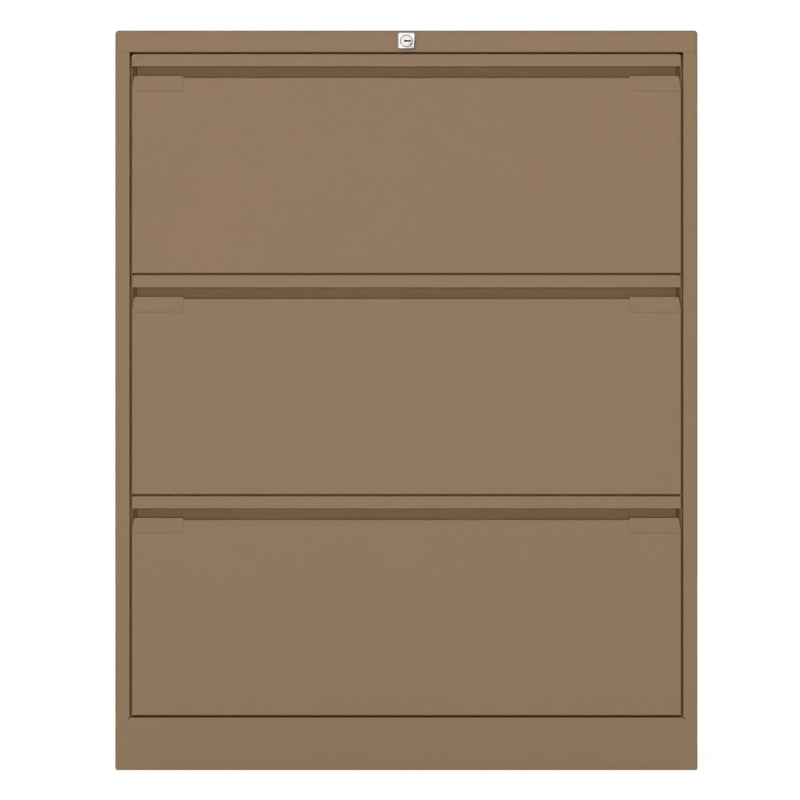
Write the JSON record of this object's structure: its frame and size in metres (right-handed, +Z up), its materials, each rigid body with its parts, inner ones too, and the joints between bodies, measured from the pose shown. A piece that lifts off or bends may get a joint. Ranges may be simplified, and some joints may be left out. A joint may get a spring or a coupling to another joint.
{
  "type": "side filing cabinet",
  "caption": "Wide lateral filing cabinet in brown sheet steel with drawers on telescopic runners, full-width finger pulls and a central lock in the top fascia.",
  "frame": {"origin": "on the floor, under the middle of the cabinet's overall box", "axes": "+X to the viewer's right, front faces -Y, +Z up"},
  "size_m": [0.8, 0.475, 1.016],
  "materials": {
    "carcass_paint": "satin brown powder coat",
    "drawer_paint": "satin brown powder coat",
    "cap_plastic": "moulded, colour matched to the paint",
    "runner_zinc": "bright zinc plate",
    "lock_nickel": "satin nickel plate",
    "linkage_steel": "zinc plated strip",
    "guide_nylon": "natural nylon",
    "foot_plastic": "black nylon on a steel stud"
  },
  "bodies": {
    "carcass": {"left_side_panel": "carcass_paint", "right_side_panel": "carcass_paint", "top_panel": "carcass_paint", "plinth_panel": "carcass_paint", "back_panel": "carcass_paint", "base_panel": "carcass_paint", "front_uprights": "carcass_paint", "rear_uprights": "carcass_paint", "front_cross_rails": "carcass_paint", "foot_brackets": "carcass_paint", "cabinet_runner_members": "runner_zinc", "lock_body": "lock_nickel", "link_bar_guides": "guide_nylon", "lock_bar_guides": "guide_nylon"},
    "lock_core": {"lock_plug": "lock_nickel", "lock_cam": "linkage_steel"},
    "link_bar": {"lock_link_bar": "linkage_steel"},
    "locking_bar": {"lock_bar": "linkage_steel"},
    "front_left_foot": {"front_left_foot": "foot_plastic"},
    "front_right_foot": {"front_right_foot": "foot_plastic"},
    "rear_left_foot": {"rear_left_foot": "foot_plastic"},
    "rear_right_foot": {"rear_right_foot": "foot_plastic"},
    "bottom_drawer": {"bottom_drawer_front": "drawer_paint", "bottom_drawer_front_liner": "drawer_paint", "bottom_drawer_grip_caps": "cap_plastic", "bottom_drawer_sides": "drawer_paint", "bottom_drawer_back": "drawer_paint", "bottom_drawer_bottom": "drawer_paint", "bottom_drawer_file_rails": "runner_zinc", "bottom_drawer_lock_catch": "linkage_steel", "bottom_drawer_runner_members": "runner_zinc"},
    "bottom_middle_members": {"bottom_runner_middle_members": "runner_zinc"},
    "bottom_outer_cages": {"bottom_runner_outer_cages": "runner_zinc"},
    "bottom_inner_cages": {"bottom_runner_inner_cages": "runner_zinc"},
    "middle_drawer": {"middle_drawer_front": "drawer_paint", "middle_drawer_front_liner": "drawer_paint", "middle_drawer_grip_caps": "cap_plastic", "middle_drawer_sides": "drawer_paint", "middle_drawer_back": "drawer_paint", "middle_drawer_bottom": "drawer_paint", "middle_drawer_file_rails": "runner_zinc", "middle_drawer_lock_catch": "linkage_steel", "middle_drawer_runner_members": "runner_zinc"},
    "middle_middle_members": {"middle_runner_middle_members": "runner_zinc"},
    "middle_outer_cages": {"middle_runner_outer_cages": "runner_zinc"},
    "middle_inner_cages": {"middle_runner_inner_cages": "runner_zinc"},
    "top_drawer": {"top_drawer_front": "drawer_paint", "top_drawer_front_liner": "drawer_paint", "top_drawer_grip_caps": "cap_plastic", "top_drawer_sides": "drawer_paint", "top_drawer_back": "drawer_paint", "top_drawer_bottom": "drawer_paint", "top_drawer_file_rails": "runner_zinc", "top_drawer_lock_catch": "linkage_steel", "top_drawer_runner_members": "runner_zinc"},
    "top_middle_members": {"top_runner_middle_members": "runner_zinc"},
    "top_outer_cages": {"top_runner_outer_cages": "runner_zinc"},
    "top_inner_cages": {"top_runner_inner_cages": "runner_zinc"}
  },
  "joints": [
    {"name": "lock_turn", "type": "hinge", "parent": "carcass", "child": "lock_core", "pos_m": [0, -0.2325, 1.001], "axis": [0, 1, 0], "range_deg": [0, 90]},
    {"name": "link_bar_slide", "type": "slide", "parent": "carcass", "child": "link_bar", "axis": [-1, 0, 0], "range_m": [0, 0.01132]},
    {"name": "locking_bar_slide", "type": "slide", "parent": "carcass", "child": "locking_bar", "axis": [0, 0, -1], "range_m": [0, 0.01131]},
    {"name": "front_left_foot_screw", "type": "slide", "parent": "carcass", "child": "front_left_foot", "axis": [0, 0, -1], "range_m": [0, 0.012]},
    {"name": "front_right_foot_screw", "type": "slide", "parent": "carcass", "child": "front_right_foot", "axis": [0, 0, -1], "range_m": [0, 0.012]},
    {"name": "rear_left_foot_screw", "type": "slide", "parent": "carcass", "child": "rear_left_foot", "axis": [0, 0, -1], "range_m": [0, 0.012]},
    {"name": "rear_right_foot_screw", "type": "slide", "parent": "carcass", "child": "rear_right_foot", "axis": [0, 0, -1], "range_m": [0, 0.012]},
    {"name": "bottom_drawer_slide", "type": "slide", "parent": "carcass", "child": "bottom_drawer", "axis": [0, -1, 0], "range_m": [0, 0.4]},
    {"name": "bottom_middle_members_slide", "type": "slide", "parent": "carcass", "child": "bottom_middle_members", "axis": [0, -1, 0], "range_m": [0, 0.2]},
    {"name": "bottom_outer_cages_slide", "type": "slide", "parent": "carcass", "child": "bottom_outer_cages", "axis": [0, -1, 0], "range_m": [0, 0.1]},
    {"name": "bottom_inner_cages_slide", "type": "slide", "parent": "carcass", "child": "bottom_inner_cages", "axis": [0, -1, 0], "range_m": [0, 0.3]},
    {"name": "middle_drawer_slide", "type": "slide", "parent": "carcass", "child": "middle_drawer", "axis": [0, -1, 0], "range_m": [0, 0.4]},
    {"name": "middle_middle_members_slide", "type": "slide", "parent": "carcass", "child": "middle_middle_members", "axis": [0, -1, 0], "range_m": [0, 0.2]},
    {"name": "middle_outer_cages_slide", "type": "slide", "parent": "carcass", "child": "middle_outer_cages", "axis": [0, -1, 0], "range_m": [0, 0.1]},
    {"name": "middle_inner_cages_slide", "type": "slide", "parent": "carcass", "child": "middle_inner_cages", "axis": [0, -1, 0], "range_m": [0, 0.3]},
    {"name": "top_drawer_slide", "type": "slide", "parent": "carcass", "child": "top_drawer", "axis": [0, -1, 0], "range_m": [0, 0.4]},
    {"name": "top_middle_members_slide", "type": "slide", "parent": "carcass", "child": "top_middle_members", "axis": [0, -1, 0], "range_m": [0, 0.2]},
    {"name": "top_outer_cages_slide", "type": "slide", "parent": "carcass", "child": "top_outer_cages", "axis": [0, -1, 0], "range_m": [0, 0.1]},
    {"name": "top_inner_cages_slide", "type": "slide", "parent": "carcass", "child": "top_inner_cages", "axis": [0, -1, 0], "range_m": [0, 0.3]}
  ],
  "couplings": [
    {"joint": "link_bar_slide", "follows": "locking_bar_slide", "ratio": 1},
    {"joint": "lock_turn", "follows": "locking_bar_slide", "rad_per_m": 138.84},
    {"joint": "bottom_middle_members_slide", "follows": "bottom_drawer_slide", "ratio": 0.5},
    {"joint": "bottom_outer_cages_slide", "follows": "bottom_drawer_slide", "ratio": 0.25},
    {"joint": "bottom_inner_cages_slide", "follows": "bottom_drawer_slide", "ratio": 0.75},
    {"joint": "middle_middle_members_slide", "follows": "middle_drawer_slide", "ratio": 0.5},
    {"joint": "middle_outer_cages_slide", "follows": "middle_drawer_slide", "ratio": 0.25},
    {"joint": "middle_inner_cages_slide", "follows": "middle_drawer_slide", "ratio": 0.75},
    {"joint": "top_middle_members_slide", "follows": "top_drawer_slide", "ratio": 0.5},
    {"joint": "top_outer_cages_slide", "follows": "top_drawer_slide", "ratio": 0.25},
    {"joint": "top_inner_cages_slide", "follows": "top_drawer_slide", "ratio": 0.75}
  ]
}
